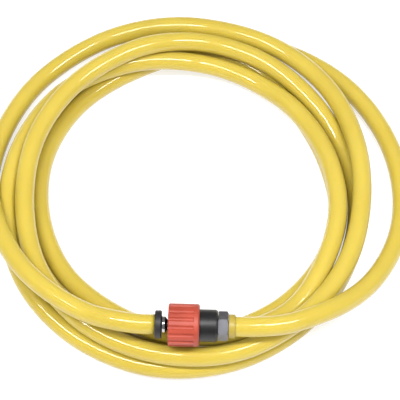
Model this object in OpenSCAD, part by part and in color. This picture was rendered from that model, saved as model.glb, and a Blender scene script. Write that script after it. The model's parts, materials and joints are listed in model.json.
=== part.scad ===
// Coil of reinforced air hose, its two ends joined by a quick-release coupling.
// Millimetres, +Z up. The coil lies on the XY plane, the coupling is at the front (-Y).

/* [Hose] */
// outside diameter of the hose
hose_d = 14.5; // [12:0.5:16]
// diameter across the flats of the hose bore
bore_d = 9; // [6:0.5:10]
// facets round the hose
hose_sides = 10; // [8:2:12]
// shift of the coil centre that puts the whole part over the origin
coil_x = 0.5; // [-10:0.1:10]
coil_y = 4.6; // [-10:0.1:10]

/* [Coupling] */
// height of the coupling axis above the floor
fit_z = 46; // [40:0.5:60]
// distance of the coupling axis in front of the coil centre
fit_y = -128; // [-140:0.5:-120]
// turn of the coupling axis seen from above
fit_turn = -1.7; // [-5:0.1:5]
// outside diameter of the ribbed release sleeve
sleeve_d = 31.4; // [28:0.2:36]
// length of the release sleeve
sleeve_len = 22.8; // [20:0.2:28]
// ribs round the sleeve
rib_count = 16; // [12:1:24]
// outside diameter of the coupling body
body_d = 24; // [20:0.2:28]
// hexagon across its flats
hex_af = 19; // [17:0.5:22]
// outside diameter of the yellow ferrule
ferrule_d = 17.7; // [16.5:0.1:20]
// outside diameter of the black protective disc
disc_d = 20.8; // [16:0.2:26]
// diameter of a locking ball
ball_d = 3.6; // [3:0.1:4]

/* [Hidden] */
$fn = 96;

// Hose route: one row for each turn, a [radius, rise] pair every 24 degrees, clockwise
// from above. Rise is the height of the hose's middle above where it lies on the floor:
// about 15 on top of one strand and 30 on top of two.
step_deg = 24;
first_deg = -126;
turn_1 = [
    [140, 31], [150, 28], [158, 22], [164, 4], [168, 0], [164, 6], [152, 17], [148, 14],
    [140, 15], [131, 16], [127, 15], [130, 16], [136, 19], [141, 15], [142, 14]
];
turn_2 = [
    [141, 13], [138, 15], [133, 19], [132, 25], [131, 29], [131, 30], [135, 20], [130, 16],
    [124, 11], [124, 1], [125, 0], [128, 0], [134, 0], [141, 0], [147, 0]
];
turn_3 = [
    [149, 0], [150, 4], [147, 11], [143, 15], [139, 15], [129, 15], [122, 9], [114, 8],
    [107, 14], [106, 15], [109, 15], [114, 15], [123, 11], [126, 15], [124, 14]
];
turn_4 = [
    [119, 5], [120, 0], [122, 0], [126, 0], [129, 0], [131, 0], [137, 0], [129, 0],
    [113, 0], [108, 0], [110, 0], [111, 0], [113, 0], [117, 0], [131, 0]
];
turn_5 = [
    [134, 0], [135, 0], [137, 0], [141, 0], [144, 0], [146, 0], [153, 0], [155, 0],
    [159, 0], [160, 0], [159, 0], [153, 10], [145, 32]
];
stations = concat(turn_1, turn_2, turn_3, turn_4, turn_5);

hose_r = hose_d / 2;
bore_r = bore_d / 2 / cos(180 / hose_sides);

function on_axis(x) = [x * cos(fit_turn), fit_y + x * sin(fit_turn), fit_z];
function polar(r, rise, a) = [r * cos(a), r * sin(a), hose_r + rise];
coil = [for (i = [0 : len(stations) - 1])
    polar(stations[i][0], stations[i][1], first_deg - step_deg * i)];
route = concat(
    [on_axis(-30.8), on_axis(-41), [-60, -123, 44.5]],
    coil,
    [[64, -126, 43.5], on_axis(42), on_axis(24)]
);

function unit(v) = v / norm(v);
function heading(i) = unit(route[min(i + 1, len(route) - 1)] - route[max(i - 1, 0)]);
function side_of(t) = unit(cross(t, [0, 0, 1]));
function ring(i, r) =
    let (t = heading(i), s = side_of(t), u = cross(s, t))
    [for (k = [0 : hose_sides - 1])
        let (a = 90 + 360 * k / hose_sides)
        route[i] + r * cos(a) * s + r * sin(a) * u];

// points run outer ring then inner ring at each station
module swept_tube() {
    n = len(route);
    m = hose_sides;
    pts = [for (i = [0 : n - 1]) each concat(ring(i, hose_r), ring(i, bore_r))];
    function o(i, k) = i * 2 * m + k % m;
    function q(i, k) = i * 2 * m + m + k % m;
    walls = [for (i = [0 : n - 2], k = [0 : m - 1]) each [
        [o(i, k), o(i, k + 1), o(i + 1, k + 1)],
        [o(i, k), o(i + 1, k + 1), o(i + 1, k)],
        [q(i, k), q(i + 1, k + 1), q(i, k + 1)],
        [q(i, k), q(i + 1, k), q(i + 1, k + 1)]
    ]];
    ends = [for (k = [0 : m - 1]) each [
        [o(0, k), q(0, k), q(0, k + 1)],
        [o(0, k), q(0, k + 1), o(0, k + 1)],
        [o(n - 1, k), q(n - 1, k + 1), q(n - 1, k)],
        [o(n - 1, k), o(n - 1, k + 1), q(n - 1, k + 1)]
    ]];
    polyhedron(points = pts, faces = concat(walls, ends), convexity = 10);
}

// puts a piece drawn along +X about the origin onto the coupling axis
module placed() {
    translate([-coil_x, fit_y - coil_y, fit_z]) rotate([0, 0, fit_turn]) children();
}

// turns a profile of [x, r] points about the coupling axis
module turned(profile) {
    rotate([0, 90, 0]) rotate_extrude()
        polygon([for (p = profile) [p[1], p[0]]]);
}

module tube_x(x0, x1, r_out, r_in) {
    turned([[x0, r_in], [x0, r_out], [x1, r_out], [x1, r_in]]);
}

module bar_x(x0, x1, r) {
    translate([x0, 0, 0]) rotate([0, 90, 0]) cylinder(h = x1 - x0, r = r);
}

// where the pieces meet along the axis
sleeve_x0 = -20.9;
sleeve_x1 = sleeve_x0 + sleeve_len;
ball_x = -12;
ball_count = 4;
ball_r = ball_d / 2;
ball_out = 5.9;
tube_r = 8;
plug_r = 5.05;
body_x1 = 15.4;
hex_x0 = 15.6;
hex_x1 = 23.1;

module hose() {
    color([0.93, 0.80, 0.32])
        translate([-coil_x, -coil_y, 0]) swept_tube();
}

module plug_nipple() {
    barbs = [for (i = [0 : 2]) each [
        [-43.5 + 3.6 * i, 3.9], [-41.0 + 3.6 * i, 4.4], [-40.2 + 3.6 * i, 4.4]
    ]];
    color([0.78, 0.78, 0.80]) placed() difference() {
        turned(concat(
            [[-44, 0], [-44, 3.9]],
            barbs,
            [
                [-32.6, 4.0], [-25.7, 4.0], [-25.7, 5.9], [-25.3, 6.25], [-23.4, 6.25],
                [-23.2, 6.1], [-21.3, 3.7], [-19.5, 3.7], [-18.6, plug_r],
                [-14.4, plug_r], [-13.6, 4.0], [-10.4, 4.0], [-9.6, plug_r],
                [-6.4, plug_r], [-5.8, 4.6], [-0.9, 4.6], [-0.6, 4.3], [-0.6, 3.4],
                [2.3, 3.4], [2.3, 0]
            ]
        ));
        bar_x(-45, 3, 2.5);
        for (a = [0, 90]) rotate([a, 0, 0])
            translate([0, -5, -0.9]) cube([4, 10, 1.8]);
    }
}

module protective_disc() {
    color([0.05, 0.05, 0.055]) placed()
        turned([
            [-30.7, 4.05], [-30.7, disc_d / 2 - 0.6], [-30.1, disc_d / 2],
            [-26.4, disc_d / 2], [-25.8, disc_d / 2 - 0.6], [-25.8, 4.05]
        ]);
}

module coupling_body() {
    r = body_d / 2;
    color([0.06, 0.06, 0.065]) placed() difference() {
        turned([
            [-20.6, 5.5], [-20.6, tube_r - 0.4], [-20.2, tube_r], [-19.4, tube_r],
            [-19.4, 7.4], [-18.2, 7.4], [-18.2, tube_r], [0.4, tube_r], [0.4, r],
            [13.9, r], [14.3, r - 0.5], [14.8, r - 0.5], [body_x1, r - 1.2],
            [body_x1, 8.05], [6, 8.05], [6, 6.9], [1.6, 6.9], [1.6, 4.0],
            [-0.4, 4.0], [-0.4, 5.15], [-2.0, 5.15], [-2.0, 6.5], [-4.4, 6.5],
            [-4.4, 5.15], [-20.2, 5.15]
        ]);
        for (i = [0 : ball_count - 1]) rotate([45 + 360 * i / ball_count, 0, 0])
            translate([ball_x, 0, 4]) cylinder(h = 5, r = ball_r + 0.08);
    }
}

module grip_sleeve() {
    r = sleeve_d / 2;
    color([0.80, 0.24, 0.15]) placed() difference() {
        turned([
            [sleeve_x0, 10.9], [sleeve_x0, r - 0.8], [sleeve_x0 + 0.8, r],
            [sleeve_x1 - 1.0, r], [sleeve_x1, r - 1.2], [sleeve_x1, 12.08],
            [-8.8, 12.08], [-8.8, 8.08], [-12, 8.08], [-17.5, 9.29], [-18.1, 9.29],
            [-18.1, 10.9]
        ]);
        for (i = [0 : rib_count - 1]) rotate([360 * (i + 0.5) / rib_count, 0, 0])
            translate([sleeve_x0 - 1, 0, r + 0.55])
                rotate([0, 90, 0]) cylinder(h = sleeve_len - 3, r = 1.75);
    }
}

// a helix of round wire, swept in one piece
module coil_spring(x0, x1, mean_r, wire_r, turns) {
    per = 16;
    m = 8;
    n = turns * per;
    run = x1 - x0 - 2 * wire_r;
    function c(i) = [x0 + wire_r + run * i / n, mean_r * cos(360 * i / per),
        mean_r * sin(360 * i / per)];
    pts = [for (i = [0 : n], k = [0 : m - 1])
        let (a = 360 * (k + 0.5) / m, b = 360 * i / per,
            rr = wire_r * cos(a))
        c(i) + [wire_r * sin(a), rr * cos(b), rr * sin(b)]];
    faces = concat(
        [for (i = [0 : n - 1], k = [0 : m - 1]) each [
            [i * m + k, i * m + (k + 1) % m, (i + 1) * m + (k + 1) % m],
            [i * m + k, (i + 1) * m + (k + 1) % m, (i + 1) * m + k]
        ]],
        [[for (k = [m - 1 : -1 : 0]) k], [for (k = [0 : m - 1]) n * m + k]]
    );
    polyhedron(points = pts, faces = faces, convexity = 8);
}

module sleeve_spring() {
    color([0.6, 0.6, 0.62]) placed() coil_spring(-8.7, 0.3, 9.9, 0.45, 3.5);
}

module sleeve_retaining_ring() {
    color([0.35, 0.35, 0.37]) placed() difference() {
        tube_x(-19.3, -18.3, 10.3, 7.5);
        translate([-20, -1, -12]) cube([3, 2, 12]);
    }
}

module locking_ball(i) {
    color([0.75, 0.75, 0.77]) placed()
        rotate([45 + 360 * (i - 1) / ball_count, 0, 0])
            translate([ball_x, 0, ball_out]) sphere(r = ball_r);
}

module plug_seal() {
    color([0.1, 0.1, 0.1]) placed() rotate([0, 90, 0])
        translate([0, 0, -3.2]) rotate_extrude() translate([5.56, 0]) circle(r = 0.9);
}

module valve_poppet() {
    color([0.75, 0.65, 0.35]) placed()
        turned([
            [2.45, 0], [2.45, 4.9], [3.0, 4.9], [3.0, 3.9], [3.7, 3.9], [3.7, 5.6],
            [4.4, 5.6], [4.4, 1.5], [12, 1.5], [12, 0]
        ]);
}

module poppet_seal() {
    color([0.1, 0.1, 0.1]) placed() tube_x(3.05, 3.65, 5.5, 3.95);
}

module valve_spring() {
    color([0.6, 0.6, 0.62]) placed() coil_spring(4.45, 9.45, 2.6, 0.3, 5);
}

module valve_guide() {
    color([0.75, 0.65, 0.35]) placed() difference() {
        bar_x(9.5, 11.5, 5.95);
        bar_x(9, 12, 1.57);
        for (a = [0 : 90 : 270]) rotate([a, 0, 0]) translate([9, 0, 3.9])
            rotate([0, 90, 0]) cylinder(h = 3, r = 1.2);
    }
}

module body_washer() {
    color([0.1, 0.1, 0.1]) placed() tube_x(6.02, 6.58, 7.9, 6.9);
}

module hex_adapter() {
    barbs = [for (i = [0 : 3]) each [
        [26.2 + 3.6 * i, 4.4], [27.0 + 3.6 * i, 4.4], [29.5 + 3.6 * i, 3.9]
    ]];
    color([0.42, 0.42, 0.45]) placed() difference() {
        union() {
            intersection() {
                translate([hex_x0, 0, 0]) rotate([0, 90, 0])
                    cylinder(h = hex_x1 - hex_x0, d = hex_af / cos(30), $fn = 6);
                turned([
                    [hex_x0, 0], [hex_x0, 10.3], [hex_x0 + 0.6, 11.1], [21.9, 11.1],
                    [hex_x1, 9.6], [hex_x1, 0]
                ]);
            }
            turned(concat(
                [[6.6, 0], [6.6, 7.6], [7.0, 8], [15.7, 8], [15.7, 5], [23, 5], [23, 4.0]],
                [[24.4, 4.0]], barbs, [[41, 3.9], [41, 0]]
            ));
        }
        bar_x(6, 13.6, 6);
        turned([[13.55, 0], [13.55, 6], [15.6, 2.8], [15.6, 0]]);
        bar_x(13, 42, 2.8);
    }
}

module hose_ferrule() {
    r = ferrule_d / 2;
    color([0.72, 0.62, 0.20]) placed()
        turned([
            [23.2, 5.2], [23.2, r - 0.4], [23.6, r], [27.6, r], [28.2, r - 0.5],
            [28.2, hose_r + 0.1], [23.9, hose_r + 0.1], [23.9, 5.2]
        ]);
}

hose();
plug_nipple();
protective_disc();
coupling_body();
grip_sleeve();
sleeve_spring();
sleeve_retaining_ring();
locking_ball(1);  // locking_ball_1
locking_ball(2);  // locking_ball_2
locking_ball(3);  // locking_ball_3
locking_ball(4);  // locking_ball_4
plug_seal();
valve_poppet();
poppet_seal();
valve_spring();
valve_guide();
body_washer();
hex_adapter();
hose_ferrule();
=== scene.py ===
"""Looks for a coil of yellow air hose closed on itself by a quick-release coupling."""

import json
import math

import bpy
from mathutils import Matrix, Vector


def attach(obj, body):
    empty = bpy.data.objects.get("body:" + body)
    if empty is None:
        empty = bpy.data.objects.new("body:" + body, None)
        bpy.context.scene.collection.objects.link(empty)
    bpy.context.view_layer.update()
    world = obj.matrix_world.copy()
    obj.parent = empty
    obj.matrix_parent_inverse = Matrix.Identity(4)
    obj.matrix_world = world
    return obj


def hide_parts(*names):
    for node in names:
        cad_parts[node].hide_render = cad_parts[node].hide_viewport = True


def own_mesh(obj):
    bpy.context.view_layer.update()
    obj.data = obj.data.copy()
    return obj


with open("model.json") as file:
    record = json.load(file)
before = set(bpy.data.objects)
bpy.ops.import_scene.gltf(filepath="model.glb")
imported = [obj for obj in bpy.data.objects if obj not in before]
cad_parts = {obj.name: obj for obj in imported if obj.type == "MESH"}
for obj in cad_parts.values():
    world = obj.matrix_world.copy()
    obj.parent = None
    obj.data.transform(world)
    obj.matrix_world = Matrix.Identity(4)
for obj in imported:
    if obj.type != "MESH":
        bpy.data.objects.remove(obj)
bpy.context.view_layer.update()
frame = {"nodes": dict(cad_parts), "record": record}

# ---------------------------------------------------------------- sizes, in metres
MM = 0.001
HOSE_R = 7.45 * MM
COIL_SHIFT = Vector((0.5, 4.6, 0)) * MM
FIT_Y = -128 * MM
FIT_Z = 46 * MM
FIT_TURN = math.radians(-1.7)
STEP_DEG = 24
FIRST_DEG = -126
RING_SPACING = 6 * MM
HOSE_SIDES = 28
BRAID_REPEAT = 9 * MM
BRAID_STARTS = 8

# where each spring starts and ends along the coupling's axis, its mean and wire radius, in mm
SLEEVE_SPRING = {"start": -8.7, "end": 0.3, "mean_r": 9.9, "wire_r": 0.45, "turns": 3.5}
VALVE_SPRING = {"start": 4.45, "end": 9.45, "mean_r": 2.6, "wire_r": 0.3, "turns": 5}

# (radius, rise) of the hose's middle every STEP_DEG, clockwise, a row for each turn, in mm
TURNS = [
    [
        (140, 31), (150, 28), (158, 22), (164, 4), (168, 0), (164, 6), (152, 17), (148, 14),
        (140, 15), (131, 16), (127, 15), (130, 16), (136, 19), (141, 15), (142, 14),
    ],
    [
        (141, 13), (138, 15), (133, 19), (132, 25), (131, 29), (131, 30), (135, 20), (130, 16),
        (124, 11), (124, 1), (125, 0), (128, 0), (134, 0), (141, 0), (147, 0),
    ],
    [
        (149, 0), (150, 4), (147, 11), (143, 15), (139, 15), (129, 15), (122, 9), (114, 8),
        (107, 14), (106, 15), (109, 15), (114, 15), (123, 11), (126, 15), (124, 14),
    ],
    [
        (119, 5), (120, 0), (122, 0), (126, 0), (129, 0), (131, 0), (137, 0), (129, 0),
        (113, 0), (108, 0), (110, 0), (111, 0), (113, 0), (117, 0), (131, 0),
    ],
    [
        (134, 0), (135, 0), (137, 0), (141, 0), (144, 0), (146, 0), (153, 0), (155, 0),
        (159, 0), (160, 0), (159, 0), (153, 10), (145, 32),
    ],
]


def on_axis(x_mm):
    """A point on the coupling's axis, x_mm from its middle."""
    x = x_mm * MM
    return Vector((x * math.cos(FIT_TURN), FIT_Y + x * math.sin(FIT_TURN), FIT_Z)) - COIL_SHIFT


def polar(r_mm, rise_mm, degrees):
    a = math.radians(degrees)
    x, y = r_mm * MM * math.cos(a), r_mm * MM * math.sin(a)
    return Vector((x, y, HOSE_R + rise_mm * MM)) - COIL_SHIFT


def free_point(x_mm, y_mm, z_mm):
    return Vector((x_mm, y_mm, z_mm)) * MM - COIL_SHIFT


def hose_route():
    """The route's own points, from the plug round to the ferrule."""
    stations = [pair for turn in TURNS for pair in turn]
    points = [on_axis(-30.8), on_axis(-41), free_point(-60, -123, 44.5)]
    points += [polar(r, h, FIRST_DEG - STEP_DEG * i) for i, (r, h) in enumerate(stations)]
    points += [free_point(64, -126, 43.5), on_axis(42), on_axis(24)]
    return points


def smooth_line(points, spacing):
    """A smooth line through points: it bends evenly in plan and never dips between heights."""
    n = len(points)
    gap = [(points[i + 1] - points[i]).length for i in range(n - 1)]
    slope = [(points[i + 1] - points[i]) / gap[i] for i in range(n - 1)]
    tangent = [slope[0]]
    for i in range(1, n - 1):
        before, after = gap[i - 1], gap[i]
        t = (slope[i - 1] * after + slope[i] * before) / (before + after)
        if slope[i - 1].z * slope[i].z <= 0:
            t.z = 0
        else:
            limit = 2 * min(abs(slope[i - 1].z), abs(slope[i].z))
            t.z = max(-limit, min(limit, t.z))
        tangent.append(t)
    tangent.append(slope[-1])
    line = []
    for i in range(n - 1):
        count = max(2, round(gap[i] / spacing))
        for k in range(count):
            u = k / count
            line.append(
                points[i] * (2 * u**3 - 3 * u**2 + 1)
                + tangent[i] * gap[i] * (u**3 - 2 * u**2 + u)
                + points[i + 1] * (3 * u**2 - 2 * u**3)
                + tangent[i + 1] * gap[i] * (u**3 - u**2)
            )
    return line + [points[-1]]


def tube(name, line, radius, sides, outward=None):
    """A round tube along line. Its UV map holds metres along it and the way round it, 0 to 1.

    outward holds a direction square to the line at each point; without it, level ones are used.
    """
    verts, faces, uvs = [], [], []
    along = 0.0
    stops = []
    for i, p in enumerate(line):
        ahead, behind = line[min(i + 1, len(line) - 1)], line[max(i - 1, 0)]
        heading = (ahead - behind).normalized()
        side = outward[i] if outward else heading.cross(Vector((0, 0, 1))).normalized()
        up = side.cross(heading)
        if i:
            along += (p - line[i - 1]).length
        stops.append(along)
        for k in range(sides):
            a = 2 * math.pi * k / sides
            verts.append(p + side * (radius * math.cos(a)) + up * (radius * math.sin(a)))
    for i in range(len(line) - 1):
        for k in range(sides):
            k2 = (k + 1) % sides
            faces.append((i * sides + k, i * sides + k2, (i + 1) * sides + k2, (i + 1) * sides + k))
            round_0, round_1 = k / sides, (k + 1) / sides
            uvs += [
                (stops[i], round_0), (stops[i], round_1),
                (stops[i + 1], round_1), (stops[i + 1], round_0),
            ]
    last = (len(line) - 1) * sides
    for ring, stop in ((list(range(sides - 1, -1, -1)), 0.0), (list(range(last, last + sides)), along)):
        faces.append(tuple(ring))
        uvs += [(stop, 0.0)] * sides
    mesh = bpy.data.meshes.new(name)
    mesh.from_pydata(verts, [], faces)
    layer = mesh.uv_layers.new(name="along_round")
    for loop, uv in zip(layer.data, uvs):
        loop.uv = uv
    mesh.polygons.foreach_set("use_smooth", [True] * len(mesh.polygons))
    mesh.update()
    obj = bpy.data.objects.new(name, mesh)
    bpy.context.collection.objects.link(obj)
    return obj


def coil_spring(name, start, end, mean_r, wire_r, turns):
    """A helix of round wire about the coupling's axis. Sizes are in mm."""
    per_turn = 32
    steps = round(turns * per_turn)
    across = Vector((-math.sin(FIT_TURN), math.cos(FIT_TURN), 0))
    line, outward = [], []
    for i in range(steps + 1):
        a = 2 * math.pi * i / per_turn
        out = across * math.cos(a) + Vector((0, 0, math.sin(a)))
        x = start + wire_r + (end - start - 2 * wire_r) * i / steps
        line.append(on_axis(x) + out * (mean_r * MM))
        outward.append(out)
    return tube(name, line, wire_r * MM, 12, outward)


# ---------------------------------------------------------------- camera
CAMERA_ELEVATION = math.radians(60)
CAMERA_DISTANCE = 1.6
LENS = 185
AIM = free_point(2.3, 0.1, 7.5)

camera_data = bpy.data.cameras.new("camera")
camera_data.sensor_width = 36
camera_data.lens = LENS
camera = bpy.data.objects.new("camera", camera_data)
bpy.context.collection.objects.link(camera)
camera.location = AIM + CAMERA_DISTANCE * Vector(
    (0, -math.cos(CAMERA_ELEVATION), math.sin(CAMERA_ELEVATION))
)
camera.rotation_euler = (math.pi / 2 - CAMERA_ELEVATION, 0, 0)
bpy.context.scene.camera = camera

# ---------------------------------------------------------------- hose
route = smooth_line(hose_route(), RING_SPACING)
route.reverse()
hose = tube("hose_skin", route, HOSE_R, HOSE_SIDES)
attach(hose, "coil")
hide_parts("hose")


# ---------------------------------------------------------------- springs, which shorten in the real coupling; here each is a helix of one fixed length with its own mesh
sleeve_coil = coil_spring("sleeve_coil", **SLEEVE_SPRING)
valve_coil = coil_spring("valve_coil", **VALVE_SPRING)
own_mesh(sleeve_coil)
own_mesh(valve_coil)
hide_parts("sleeve_spring")
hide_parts("valve_spring")
for spring in (sleeve_coil, valve_coil):
    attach(spring, "coil")


# ---------------------------------------------------------------- materials
GRAIN = 0.5 * MM
LATHE_PITCH = 0.5236 * MM
RELIEF = 0.02 * MM


def new_material(name):
    """A material, its node tree, and its Principled shader."""
    material = bpy.data.materials.new(name)
    material.use_nodes = True
    tree = material.node_tree
    return material, tree, tree.nodes["Principled BSDF"]


def noise(tree, scale, detail=3.0):
    where = tree.nodes.new("ShaderNodeTexCoord")
    texture = tree.nodes.new("ShaderNodeTexNoise")
    texture.inputs["Scale"].default_value = scale
    texture.inputs["Detail"].default_value = detail
    tree.links.new(where.outputs["Object"], texture.inputs["Vector"])
    return texture.outputs["Fac"]


def ramp(tree, source, stops):
    """A colour ramp over source, with two stops of (position, colour)."""
    node = tree.nodes.new("ShaderNodeValToRGB")
    for element, (position, colour) in zip(node.color_ramp.elements, stops):
        element.position = position
        element.color = (*colour, 1)
    tree.links.new(source, node.inputs["Fac"])
    return node.outputs["Color"]


def arithmetic(tree, operation, *values):
    node = tree.nodes.new("ShaderNodeMath")
    node.operation = operation
    for socket, value in zip(node.inputs, values):
        if isinstance(value, (int, float)):
            socket.default_value = value
        else:
            tree.links.new(value, socket)
    return node.outputs["Value"]


def bump(tree, shader, height, strength, distance):
    node = tree.nodes.new("ShaderNodeBump")
    node.inputs["Strength"].default_value = strength
    node.inputs["Distance"].default_value = distance
    tree.links.new(height, node.inputs["Height"])
    tree.links.new(node.outputs["Normal"], shader.inputs["Normal"])


def moulded(name, low, high, roughness, coat=0.0):
    """A surface whose colour drifts between low and high, with a fine grain."""
    material, tree, shader = new_material(name)
    drift = noise(tree, 60)
    tree.links.new(ramp(tree, drift, [(0.35, low), (0.65, high)]), shader.inputs["Base Color"])
    shader.inputs["Coat Weight"].default_value = coat
    shader.inputs["Coat Roughness"].default_value = 0.15
    grain = noise(tree, 1 / GRAIN, 2.0)
    spread = arithmetic(tree, "MULTIPLY_ADD", grain, 0.16, roughness - 0.08)
    tree.links.new(spread, shader.inputs["Roughness"])
    bump(tree, shader, grain, 0.6, RELIEF)
    return material


def turned_metal(name, low, high, roughness):
    """Metal with fine lathe rings about the coupling's axis."""
    material, tree, shader = new_material(name)
    drift = noise(tree, 90)
    tree.links.new(ramp(tree, drift, [(0.3, low), (0.7, high)]), shader.inputs["Base Color"])
    shader.inputs["Metallic"].default_value = 1.0
    where = tree.nodes.new("ShaderNodeTexCoord")
    split = tree.nodes.new("ShaderNodeSeparateXYZ")
    tree.links.new(where.outputs["Object"], split.inputs["Vector"])
    phase = arithmetic(tree, "MULTIPLY", split.outputs["X"], 2 * math.pi / LATHE_PITCH)
    wave = arithmetic(tree, "SINE", phase)
    spread = arithmetic(tree, "MULTIPLY_ADD", noise(tree, 700), 0.14, roughness - 0.07)
    tree.links.new(spread, shader.inputs["Roughness"])
    bump(tree, shader, wave, 0.25, RELIEF)
    return material


def hose_material():
    """Glossy soft PVC over a crossed braid that shows as a faint diamond relief."""
    material, tree, shader = new_material("hose_pvc")
    drift = noise(tree, 14, 4.0)
    colour = ramp(tree, drift, [(0.3, (0.42, 0.317, 0.044)), (0.7, (0.465, 0.358, 0.056))])
    tree.links.new(colour, shader.inputs["Base Color"])
    shader.inputs["Subsurface Weight"].default_value = 0.4
    shader.inputs["Subsurface Radius"].default_value = (1.0, 0.7, 0.15)
    shader.inputs["Subsurface Scale"].default_value = 0.003
    shader.inputs["Specular IOR Level"].default_value = 0.1
    shader.inputs["Coat Weight"].default_value = 0.75
    shader.inputs["Coat IOR"].default_value = 1.5
    shader.inputs["Coat Roughness"].default_value = 0.02

    where = tree.nodes.new("ShaderNodeTexCoord")
    split = tree.nodes.new("ShaderNodeSeparateXYZ")
    tree.links.new(where.outputs["UV"], split.inputs["Vector"])
    along = arithmetic(tree, "MULTIPLY", split.outputs["X"], 2 * math.pi / BRAID_REPEAT)
    around = arithmetic(tree, "MULTIPLY", split.outputs["Y"], 2 * math.pi * BRAID_STARTS)
    crossing = []
    for operation in ("ADD", "SUBTRACT"):
        wave = arithmetic(tree, "COSINE", arithmetic(tree, operation, along, around))
        crossing.append(arithmetic(tree, "POWER", arithmetic(tree, "ABSOLUTE", wave), 6.0))
    braid = arithmetic(tree, "MAXIMUM", *crossing)
    ripple = noise(tree, 90, 2.0)
    relief = arithmetic(tree, "MULTIPLY_ADD", ripple, 0.5, braid)
    spread = arithmetic(tree, "MULTIPLY_ADD", noise(tree, 260), 0.1, 0.3)
    tree.links.new(spread, shader.inputs["Roughness"])
    bump(tree, shader, relief, 0.3, 2 * RELIEF)
    return material


MATERIALS = {
    "hose_yellow": hose_material(),
    "nipple_chrome": turned_metal("nipple_chrome", (0.4, 0.38, 0.38), (0.55, 0.53, 0.53), 0.18),
    "disc_black": moulded("disc_rubber", (0.006, 0.005, 0.006), (0.013, 0.012, 0.014), 0.5),
    "body_black": moulded("body_plastic", (0.003, 0.003, 0.0035), (0.007, 0.007, 0.008), 0.42),
    "sleeve_red": moulded("sleeve_plastic", (0.28, 0.034, 0.016), (0.34, 0.045, 0.022), 0.5),
    "spring_steel": turned_metal("spring_steel", (0.45, 0.45, 0.47), (0.6, 0.6, 0.62), 0.3),
    "ball_steel": turned_metal("ball_steel", (0.65, 0.65, 0.67), (0.78, 0.78, 0.8), 0.12),
    "seal_black": moulded("seal_rubber", (0.012, 0.012, 0.012), (0.03, 0.03, 0.03), 0.6),
    "brass": turned_metal("brass", (0.62, 0.43, 0.16), (0.74, 0.54, 0.24), 0.28),
    "hex_steel": turned_metal("hex_steel", (0.17, 0.17, 0.185), (0.24, 0.24, 0.26), 0.5),
    "ferrule_olive": moulded("ferrule_olive", (0.28, 0.205, 0.025), (0.34, 0.25, 0.035), 0.4, coat=0.15),
}

slot_of = {part["node"]: part["material_slot"] for part in frame["record"]["subparts"]}
for node, obj in frame["nodes"].items():
    obj.data.materials.clear()
    obj.data.materials.append(MATERIALS[slot_of[node]])
hose.data.materials.append(MATERIALS["hose_yellow"])
for spring in (sleeve_coil, valve_coil):
    spring.data.materials.append(MATERIALS["spring_steel"])

# ---------------------------------------------------------------- floor and light
bpy.ops.mesh.primitive_plane_add(size=8, location=(0, 0, 0))
floor = bpy.context.object
floor.name = "floor"
floor_material, floor_tree, floor_shader = new_material("floor_pale")
floor_shader.inputs["Base Color"].default_value = (0.45, 0.45, 0.45, 1)
floor_shader.inputs["Roughness"].default_value = 0.9
floor_shader.inputs["Specular IOR Level"].default_value = 0.1
floor_shader.inputs["Emission Color"].default_value = (1, 1, 1, 1)
floor_shader.inputs["Emission Strength"].default_value = 0.6
floor.data.materials.append(floor_material)

world = bpy.data.worlds.new("studio")
bpy.context.scene.world = world
world.use_nodes = True
world.node_tree.nodes["Background"].inputs["Color"].default_value = (1, 1, 1, 1)
world.node_tree.nodes["Background"].inputs["Strength"].default_value = 0.3


def softbox(name, location, width, height, power, straight_down=False):
    """A rectangular area light that faces the middle of the coil, or straight down."""
    data = bpy.data.lights.new(name, "AREA")
    data.shape = "RECTANGLE"
    data.energy = power
    data.size, data.size_y = width, height
    light = bpy.data.objects.new(name, data)
    bpy.context.collection.objects.link(light)
    light.location = location
    if not straight_down:
        light.rotation_euler = Vector(location).to_track_quat("Z", "Y").to_euler()
    return light


fill_lights = [
    softbox("front_softbox", (0, -1.6, 2.1), 4.5, 2.4, 66),
    softbox("back_softbox", (0, 0.8, 1.0), 1.6, 0.8, 4),
]
for light in fill_lights:
    light.visible_glossy = False
for side in (-1, 1):
    softbox("strip_softbox", (0.55 * side, -0.31, 1.4), 0.9, 0.15, 17, straight_down=True)

bpy.context.scene.view_settings.view_transform = "Standard"
bpy.context.view_layer.update()
